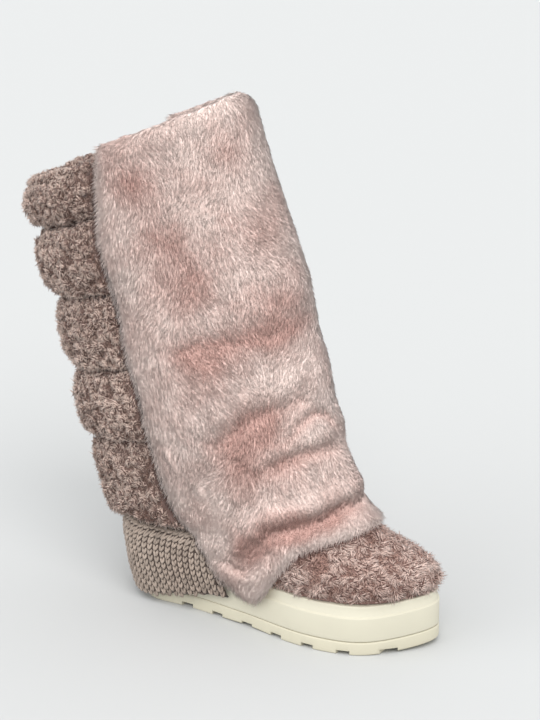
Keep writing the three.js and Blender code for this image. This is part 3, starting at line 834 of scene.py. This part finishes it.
def put_wool(mesh, points, keep, rise, growth, lay, seed):
    """Says where wool grows on a skin, how long it is, where it points and how much painted shade lies in
    the gaps between its clumps.
    """
    put_attribute(mesh, "keep", keep)
    put_attribute(mesh, "long", SHORTEST_WOOL + growth * rise)
    put_attribute(mesh, "lay", unit(lay))
    cloud = SHADE_CLOUD * ripples(points, SHADE_CLOUD_SIZE, seed)
    # Painted shade in the gaps between the clumps, made uneven by a cloud of ripples.
    put_attribute(mesh, "rose", np.clip(1 - SHADE_FALL * rise + cloud, 0, 1))


# Upper and toe

TOE_BELOW, TOE_PAST, TOE_CUTS = 0.13, 0.08, 3
OUTWARD = 0.15
TOE_CLEAR, TOE_ALONG, TOE_ABOVE = (1.0 * MM, 4.0 * MM), (-0.02, 0.03), (0.046, 0.052)
TOE_CLUMP, TOE_STRETCH = 1.3, (0.7, 1.3, 1.3)
TOE_SWELL, TOE_LEVEL, TOE_RIPPLES = 3.2, 0.75, [(0.6, 0.018, 4)]
TOE_LOCK, TOE_DENSITY = 1.45, 1.25
TOE_FORWARD = np.array([[0.5, -0.25, -0.35]])
# Painted shade multiplied into the gaps between the clumps of toe wool.
TOE_CREVICE_SHADE = (0.58, 0.46, 0.43)
FOOT_AXIS_Z = [0.04, 0.075, 0.11, 0.15, 0.26, 0.46]
FOOT_AXIS_X = [0.0, 0.0, 0.03, 0.027, 0.013, -0.04]
FOOT_TOP, FOOT_MIDDLE = 0.10, 0.058
FOOT_FROM, FOOT_TO = -0.005, 0.2


def foot_axis(points):
    """The middle of the boot's hollow at each point's height."""
    middle = points.copy()
    middle[:, 0] = np.interp(points[:, 2], FOOT_AXIS_Z, FOOT_AXIS_X)
    low = points[:, 2] < FOOT_TOP
    middle[low, 0] = np.clip(points[low, 0], FOOT_FROM, FOOT_TO)
    middle[:, 1] = 0
    middle[low, 2] = FOOT_MIDDLE
    return middle


def in_toe(edge):
    return max(v.co.z for v in edge.verts) < TOE_BELOW and min(v.co.x for v in edge.verts) > TOE_PAST


class BOOT_OT_upper(Operator):
    """Makes the hollow upper with its lining, the felt footbed and the wool over the toe"""

    bl_idname = "boot.upper"
    bl_label = "Upper, lining and toe"

    def execute(self, context):
        kit = context.scene.boot_rolls
        upper = to_scene(merged_copy("upper", "upper_shell"), "upper_shell")
        work = bmesh.new()
        work.from_mesh(upper.data)
        toe = [e for e in work.edges if in_toe(e)]
        bmesh.ops.subdivide_edges(work, edges=toe, cuts=TOE_CUTS, use_grid_fill=True)
        work.to_mesh(upper.data)
        work.free()
        points, normals = points_and_normals(upper)
        outer = (unit(points - foot_axis(points)) * normals).sum(1) > OUTWARD
        covered = surface_of("fur_panel", "heel_knit")
        clear = np.array([covered.find_nearest(Vector(p))[3] for p in points])
        bare = step(*TOE_CLEAR, clear) * outer
        bare *= step(*TOE_ALONG, points[:, 0]) * step(*TOE_ABOVE, points[:, 2])
        rise, way = clumps(points * TOE_STRETCH, normals, TOE_CLUMP * kit.clump, 3)
        swell = layered(points, TOE_RIPPLES) + TOE_SWELL * (rise - TOE_LEVEL)
        put_points(upper.data, points + normals * (bare * swell * MM)[:, None])
        lay = 0.25 * normals + 0.7 * way + 0.8 * TOE_FORWARD
        put_wool(upper.data, points, bare, rise, 0.45, lay, 8)
        lining = ground_finish("lining_fleece", linear(176, 156, 147), linear(205, 188, 178), 0.003, 0.0012)
        # The ground under the toe's wool is painted dark: painted shade down between the locks.
        ground = ground_finish("toe_ground_shade", linear(112, 86, 80), linear(160, 128, 119), 0.004, 0.002)
        upper.data.materials.append(lining)
        upper.data.materials.append(ground)
        for face in upper.data.polygons:
            face.use_smooth = True
            face.material_index = int(outer[list(face.vertices)].mean() > 0.5)
        stays(upper, "curly_pile", "upper")
        # Toe wool: painted shade at the roots, in the gaps and in the streaks.
        finish = pile_finish(
            "toe_wool", kit.root, kit.toe_middle, kit.toe_tip, TOE_CREVICE_SHADE, kit.root,
            WOOL_FOLLOW, WOOL_SHEEN, 0.4,
        )
        lock = unshown("toe_lock", thorn("toe_lock", TOE_LOCK * kit.strand, kit.width))
        wool = grown(
            upper, pile_tree(), "toe_wool", finish, Lock=lock, Density=TOE_DENSITY * kit.density,
            Spread=WOOL_SPREAD, Smallest=WOOL_SMALLEST, Largest=1.2, Seed=5,
        )
        stays(wool, "curly_pile")
        felt = ground_finish("footbed_felt", linear(158, 148, 140), linear(188, 178, 169), 0.002, 0.0006)
        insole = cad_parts["insole"]
        insole.data.materials.clear()
        insole.data.materials.append(felt)
        return {"FINISHED"}


# Rolls up the back of the shaft

PAD_VOXEL = 2.7 * MM
ROLL_SWELL, ROLL_LEVEL, ROLL_RIPPLE, ROLL_RIPPLE_SIZE = 4.2, 0.7, 0.8, 0.02
# Painted shade multiplied into the gaps between the clumps of roll wool.
ROLL_CREVICE_SHADE = (0.36, 0.29, 0.27)
ROLL_SAG = np.array([[0, 0, -0.25]])


class BOOT_OT_rolls(Operator):
    """Makes the five curly rolls round the back of the shaft"""

    bl_idname = "boot.rolls"
    bl_label = "Curly rolls"

    def execute(self, context):
        kit = context.scene.boot_rolls
        # Roll wool: painted shade at the roots, in the gaps and in the streaks.
        finish = pile_finish(
            "roll_wool", kit.root, kit.middle, kit.tip, ROLL_CREVICE_SHADE, kit.root,
            WOOL_FOLLOW, WOOL_SHEEN, 0.5,
        )
        # The ground under the rolls' wool is painted dark: painted shade down between the locks.
        ground = ground_finish("roll_ground_shade", linear(88, 70, 66), linear(132, 108, 100), 0.004, 0.002)
        lock = unshown("roll_lock", thorn("roll_lock", kit.strand, kit.width))
        tree = pile_tree()
        shell = surface_of("upper")
        for number, node in enumerate(ROLL_NODES, 1):
            name = "roll_" + str(number)
            roll = soft_copy(node, name, PAD_VOXEL)
            points, normals = points_and_normals(roll)
            outer = outer_side(points, normals, shell)
            rise, way = clumps(points, normals, kit.clump, 30 + number)
            swell = layered(points, [(ROLL_RIPPLE, ROLL_RIPPLE_SIZE, 20 + number)])
            swell += ROLL_SWELL * (rise - ROLL_LEVEL)
            put_points(roll.data, points + normals * (outer * (swell * MM - kit.pile))[:, None])
            lay = 0.3 * normals + 0.9 * way + ROLL_SAG
            put_wool(roll.data, points, outer, rise, 0.4, lay, 40 + number)
            put_material(roll, ground)
            stays(roll, "curly_pile", node, fill=0.7)
            wool = grown(
                roll, tree, name + "_wool", finish, Lock=lock, Density=kit.density,
                Spread=WOOL_SPREAD, Smallest=WOOL_SMALLEST, Largest=1.25, Seed=60 + number,
            )
            stays(wool, "curly_pile")
        return {"FINISHED"}


# Knitted heel

KNIT_AXIS_X = 0.003
KNIT_LOW, KNIT_HIGH = 0.0, 0.17
KNIT_ROSE = (0.95, 0.9, 0.88)
ROW_SWEEP, ROW_STEP, ROW_START_WITHIN = 150, 0.5, 3
RAY_REACH, LEAST_FACING = 0.2, 0.1
LONGEST_STRIDE = 8 * MM


class BOOT_OT_knit(Operator):
    """Makes the knitted heel, stitch by stitch over a ground painted dark: painted shade between the
    stitches
    """

    bl_idname = "boot.knit"
    bl_label = "Knitted heel"

    def execute(self, context):
        kit = context.scene.boot_knit
        heel = soft_copy("heel_knit", "heel_ground", PAD_VOXEL)
        points, normals = points_and_normals(heel)
        outer = outer_side(points, normals, surface_of("upper", "midsole"))
        put_points(heel.data, points - normals * (outer * kit.sunk)[:, None])
        # The ground under the stitches is painted dark: painted shade between the stitches.
        lighter = [c * 1.7 for c in kit.shade]
        put_material(heel, ground_finish("knit_ground_shade", kit.shade, lighter, 0.002, 0.0006))
        stays(heel, "heel_yarn", "heel_knit", fill=0.3)
        cloud = to_scene(stitch_cloud(heel, kit.wale, kit.course), "stitch_cloud")
        stitch = unshown("one_stitch", knit_stitch(kit.wale, kit.course))
        darker = [c * 0.92 for c in kit.yarn]
        # Yarn: painted shade where it tucks under, up to its own colour, with streaks of painted shade.
        finish = pile_finish(
            "heel_yarn", kit.shade, darker, kit.yarn, KNIT_ROSE, kit.shade, 0.1, 0.15, 0.25
        )
        knit = grown(cloud, stitch_tree(), "heel_stitches", finish, Stitch=stitch, Uneven=0.06)
        bpy.data.objects.remove(cloud)
        stays(knit, "heel_yarn")
        return {"FINISHED"}


def stitch_cloud(heel, wale, course):
    """Points for the stitches: rows up the heel, each walked in equal steps from its back."""
    tree = surface_of(heel.name)
    rows = []
    height = KNIT_LOW
    while height < KNIT_HIGH:
        rows.append(walked_row(tree, height, wale))
        height += course
    points, ground, along, size = [], [], [], []
    for r, row in enumerate(rows):
        for column, (p, n) in row.items():
            above = rows[r + 1].get(column) if r + 1 < len(rows) else None
            below = rows[r - 1].get(column) if r else None
            if above:
                up = above[0] - p
            elif below:
                up = p - below[0]
            else:
                continue
            points.append(p)
            ground.append(n)
            along.append(unit((up - n * (up @ n))[None])[0])
            size.append((1.0, np.linalg.norm(up) / course, 1.0))
    mesh = mesh_from("stitch_cloud", points, [])
    put_attribute(mesh, "ground", ground)
    put_attribute(mesh, "wale", along)
    put_attribute(mesh, "size", size)
    return mesh


def walked_row(tree, height, wale):
    """Hits of one row of the knit, keyed by their column from the back of the heel."""
    row = {}
    for hand in (1, -1):
        last, walked, column = None, 0.0, 0
        for degree in np.arange(0, ROW_SWEEP, ROW_STEP):
            angle = math.pi - hand * math.radians(degree)
            way = Vector((math.cos(angle), math.sin(angle), 0))
            start = Vector((KNIT_AXIS_X, 0, height)) + way * RAY_REACH
            hit, normal, _, _ = tree.ray_cast(start, -way, RAY_REACH)
            if hit is None or normal.dot(way) < LEAST_FACING:
                continue
            p = np.array(hit)
            if last is None:
                if degree > ROW_START_WITHIN:
                    break
            else:
                stride = np.linalg.norm(p - last)
                if stride > LONGEST_STRIDE:
                    break
                walked += stride
            last = p
            if walked >= column * wale:
                if hand == 1 or column > 0:
                    row[hand * column] = (p, np.array(normal))
                column += 1
    return row


# Plush front

# Creases of the plush: how deep and how wide each is, and its line of points, in millimetres
CREASES = {
    "shin band": (
        1.2, 12, [(19, -74, 253), (55, -66, 264), (86, -52, 272), (113, -23, 279), (122, 10, 283)]
    ),
    "ankle fold": (
        3.0, 11, [(64, -68, 175), (82, -63, 191), (95, -57, 202), (108, -49, 209), (127, -30, 217)]
    ),
    "ankle ridge": (
        1.8, 6, [(122, -45, 180), (129, -34, 195), (136, -20, 204), (142, -7, 200), (146, 0, 187)]
    ),
    "instep roll": (
        1.8, 9, [(105, -57, 154), (122, -47, 165), (138, -32, 171), (150, -7, 170)]
    ),
    "main fold": (6.5, 9, [
        (84, -60, 60), (95, -61, 80), (113, -60, 101), (134, -54, 107), (156, -37, 115),
        (166, -19, 122), (172, -1, 122),
    ]),
}
RIDGE_RISE, RIDGE_AT = 0.75, 1.3
HOLLOW_AT, HOLLOW_WIDTH = 0.25, 0.75
HOLLOW_SHADE_RISE, HOLLOW_SHADE_AT, HOLLOW_SHADE_WIDTH = 0.8, 0.3, 0.9
FADE_FROM, FADE_RUN = 0.07, 0.86
RIDGE_LEAN = 0.35

# Patches of rose tone in the plush, with painted shade where they lie along the folds: centre and size in
# millimetres, and strength
ROSE_AND_SHADE_PATCHES = [
    ((-14, -71, 394), 20, 0.9),
    ((87, -25, 360), 26, 0.6),
    ((41, -67, 311), 24, 0.5),
    ((55, -67, 251), 22, 0.75),
    ((106, -36, 273), 20, 0.75),
    ((13, -70, 352), 26, 0.55),
    ((58, -29, 427), 20, 0.5),
    ((105, -27, 301), 20, 0.5),
    ((84, -62, 162), 24, 0.9),
    ((100, -54, 190), 20, 0.8),
    ((95, -61, 84), 15, 1.0),
    ((116, -59, 103), 17, 1.0),
    ((138, -51, 109), 15, 0.9),
    ((160, -33, 117), 13, 0.7),
]

FUR_VOXEL = 3.4 * MM
FUR_DOWN = np.array([[0.12, 0.0, -1.0]])
FUR_TURNED, FUR_CLEAR = (-0.15, 0.3), (0.8 * MM, 3 * MM)
FUR_WAVES = [(0.7, 0.05, 81), (0.2, 0.015, 82)]
FUR_SWIRLS = [(0.55, 0.09, 71), (0.3, 0.03, 72)]
FUR_LENGTHS = [(0.12, 0.02, 83)]
FUR_LIFT, EDGE_LIFT, EDGE_THIN = 0.11, 0.9, 0.45
EDGE_OUTER, EDGE_AWAY, EDGE_REACH = 0.2, 0.75, 5 * MM
HOLLOW_SHADE_STRENGTH, HOLLOW_SHORT, EDGE_LONG = 0.8, 0.2, 0.1
SKIN_TIP, SKIN_TINT = 0.7, 0.8
FOOT_BAND_TOP, SHIN_BAND_TOP = 0.175, 0.32


def crease_fields(points):
    """Height of the folds, and how much painted shade lies in their hollows, at each point."""
    height = np.zeros(len(points))
    rosy_and_shaded = np.zeros(len(points))
    for depth, width, marks in CREASES.values():
        line = np.array(marks, float) * MM
        near = np.full(len(points), 1e9)
        above = np.zeros(len(points))
        fade = np.zeros(len(points))
        legs = len(line) - 1
        for i in range(legs):
            a, b = line[i], line[i + 1]
            t = np.clip(((points - a) @ (b - a)) / ((b - a) @ (b - a)), 0, 1)
            away = points - (a + t[:, None] * (b - a))
            gap = np.linalg.norm(away, axis=1)
            closer = gap < near
            near = np.where(closer, gap, near)
            above = np.where(closer, np.sign(away[:, 2] + RIDGE_LEAN * away[:, 0]), above)
            run = np.clip((i + t) / legs * FADE_RUN + FADE_FROM, 0, 1)
            fade = np.where(closer, np.sin(math.pi * run) ** 0.5, fade)
        across = above * near / (width * MM)
        ridge = RIDGE_RISE * np.exp(-((across - RIDGE_AT) ** 2))
        hollow = np.exp(-((across + HOLLOW_AT) / HOLLOW_WIDTH) ** 2)
        height += depth * MM * fade * (ridge - hollow)
        # Painted shade in the hollow under each fold.
        rosy_and_shaded += HOLLOW_SHADE_RISE * fade * np.exp(-((across + HOLLOW_SHADE_AT) / HOLLOW_SHADE_WIDTH) ** 2)
    return height, np.clip(rosy_and_shaded, 0, 1)


# Rose tone of the patches, and painted shade where they lie on folds, at each point.
def rose_field(points):
    rosy_and_shaded = np.zeros(len(points))
    for centre, size, strength in ROSE_AND_SHADE_PATCHES:
        gap = np.linalg.norm(points - np.array(centre) * MM, axis=1) / (size * MM)
        rosy_and_shaded += strength * np.exp(-gap * gap)
    return rosy_and_shaded


def combed(points, normals):
    """Lay of the plush: down the boot, swirling a little."""
    flat = unit(FUR_DOWN - normals * (normals * FUR_DOWN).sum(1, keepdims=True))
    side = np.cross(normals, flat)
    swirl = layered(points, FUR_SWIRLS)
    return flat * np.cos(swirl)[:, None] + side * np.sin(swirl)[:, None]


class BOOT_OT_fur(Operator):
    """Makes the plush front panel with its creases and its locks"""

    bl_idname = "boot.fur"
    bl_label = "Plush front"

    def execute(self, context):
        kit = context.scene.boot_fur
        fur = soft_copy("fur_panel", "fur_skin", FUR_VOXEL)
        points, normals = points_and_normals(fur)
        gap, away = facing_away(points, normals, surface_of("upper"))
        outer = step(*FUR_TURNED, away) * step(*FUR_CLEAR, gap)
        folds, hollows = crease_fields(points)
        waves = layered(points, FUR_WAVES)
        border = (outer > EDGE_OUTER) & (away < EDGE_AWAY)
        edge = closeness(points, border, EDGE_REACH) * outer
        sunk = kit.pile * (1 - EDGE_THIN * edge)
        put_points(fur.data, points + normals * (outer * (folds + waves * MM - sunk))[:, None])
        points, normals = points_and_normals(fur)
        # Painted shade in the fold hollows, with the patches' rose tone and painted shade, none at the
        # panel's border.
        rosy_and_shaded = np.clip(HOLLOW_SHADE_STRENGTH * hollows + rose_field(points), 0, 1)
        put_attribute(fur.data, "rose", rosy_and_shaded * (1 - edge))
        put_attribute(fur.data, "pale", edge)
        lay = (FUR_LIFT + EDGE_LIFT * edge)[:, None] * normals + combed(points, normals)
        put_attribute(fur.data, "lay", unit(lay))
        tall = 1 + layered(points, FUR_LENGTHS) - HOLLOW_SHORT * hollows + EDGE_LONG * edge
        put_attribute(fur.data, "long", tall)
        finish = pile_finish(
            "plush", kit.root, kit.middle, kit.tip, kit.rose, kit.deep, 0.95, 0.35, 0.12, 0.04
        )
        put_material(fur, finish)
        stays(fur, "plush_fur", "fur_panel", fill=0.6)
        lock = unshown("plush_lock", thorn("plush_lock", kit.strand, kit.width))
        tree = pile_tree()
        heights = points[:, 2]
        bands = {
            "fur_foot": heights < FOOT_BAND_TOP,
            "fur_shin": (heights >= FOOT_BAND_TOP) & (heights < SHIN_BAND_TOP),
            "fur_cuff": heights >= SHIN_BAND_TOP,
        }
        for number, (name, band) in enumerate(bands.items()):
            put_attribute(fur.data, "keep", outer * band)
            locks = grown(
                fur, tree, name, finish, Lock=lock, Density=kit.density, Spread=0.2,
                Smallest=0.75, Largest=1.2, Seed=90 + number,
            )
            stays(locks, "plush_fur")
        put_attribute(fur.data, "tip", np.full(len(points), SKIN_TIP))
        put_attribute(fur.data, "tint", np.full(len(points), SKIN_TINT))
        return {"FINISHED"}


# Stage

PHOTO_AZIMUTH, PHOTO_ELEVATION = math.radians(30), math.radians(20)
PHOTO_DISTANCE = 2.8
PHOTO_TARGET = Vector((0.080, 0.0, 0.234))
PHOTO_LENS, PHOTO_SENSOR = 161.85, 36
FLOOR_HALF = 9.0
FLOOR_COLOUR = (0.555, 0.56, 0.555, 1)
SKY_COLOUR, SKY_STRENGTH = (0.97, 0.985, 1.0, 1), 1.05


class BOOT_OT_stage(Operator):
    """Makes the pale floor, the soft lights and the camera"""

    bl_idname = "boot.stage"
    bl_label = "Stage"

    def execute(self, context):
        half = FLOOR_HALF
        corners = [(-half, -half, 0), (half, -half, 0), (half, half, 0), (-half, half, 0)]
        floor = to_scene(mesh_from("floor", corners, [(0, 1, 2, 3)]), "floor")
        material, _, principled = shader("floor_paint")
        set_inputs(principled, Base_Color=FLOOR_COLOUR, Roughness=0.9, Specular_IOR_Level=0.1)
        floor.data.materials.append(material)
        world = bpy.data.worlds.new("studio")
        world.use_nodes = True
        set_inputs(world.node_tree.nodes["Background"], Color=SKY_COLOUR, Strength=SKY_STRENGTH)
        context.scene.world = world
        soft_sun("key", (1.2, -1.5, 2.2), 40, 1.7)
        soft_sun("fill", (-1.5, -1.6, 1.2), 60, 0.65)
        camera = bpy.data.objects.new("camera", bpy.data.cameras.new("camera"))
        back = Vector((
            math.sin(PHOTO_AZIMUTH) * math.cos(PHOTO_ELEVATION),
            -math.cos(PHOTO_AZIMUTH) * math.cos(PHOTO_ELEVATION),
            math.sin(PHOTO_ELEVATION),
        ))
        camera.location = PHOTO_TARGET + back * PHOTO_DISTANCE
        camera.rotation_euler = back.to_track_quat("Z", "Y").to_euler()
        camera.data.lens = PHOTO_LENS
        camera.data.sensor_width = PHOTO_SENSOR
        context.scene.collection.objects.link(camera)
        context.scene.camera = camera
        context.scene.view_settings.view_transform = "Standard"
        return {"FINISHED"}


def soft_sun(name, direction, spread, strength):
    """A wide, far light, so that the floor is even and the shadows are soft."""
    light = bpy.data.lights.new(name, "SUN")
    light.angle = math.radians(spread)
    light.energy = strength
    holder = bpy.data.objects.new(name, light)
    holder.rotation_euler = Vector(direction).to_track_quat("Z", "Y").to_euler()
    bpy.context.scene.collection.objects.link(holder)


class BOOT_PT_looks(Panel):
    """Lists the boot's pieces and their settings"""

    bl_label = "Snow boot"
    bl_idname = "BOOT_PT_looks"
    bl_space_type = "VIEW_3D"
    bl_region_type = "UI"
    bl_category = "Snow boot"

    def draw(self, context):
        for operator in OPERATORS:
            self.layout.operator(operator.bl_idname)
        for name, group in SETTINGS.items():
            box = self.layout.box()
            for key in group.__annotations__:
                box.prop(getattr(context.scene, name), key)


SETTINGS = {
    "boot_fur": FurSettings,
    "boot_rolls": RollSettings,
    "boot_knit": KnitSettings,
    "boot_sole": SoleSettings,
}
OPERATORS = [BOOT_OT_stage, BOOT_OT_sole, BOOT_OT_upper, BOOT_OT_rolls, BOOT_OT_knit, BOOT_OT_fur]


def register():
    for made in [*SETTINGS.values(), *OPERATORS, BOOT_PT_looks]:
        bpy.utils.register_class(made)
    for name, group in SETTINGS.items():
        setattr(bpy.types.Scene, name, PointerProperty(type=group))


def unregister():
    for name in SETTINGS:
        delattr(bpy.types.Scene, name)
    for made in [BOOT_PT_looks, *OPERATORS[::-1], *SETTINGS.values()]:
        bpy.utils.unregister_class(made)


def main():
    register()
    bpy.ops.boot.stage()
    bpy.ops.boot.sole()
    bpy.ops.boot.upper()
    bpy.ops.boot.rolls()
    bpy.ops.boot.knit()
    bpy.ops.boot.fur()


if __name__ == "__main__":
    main()
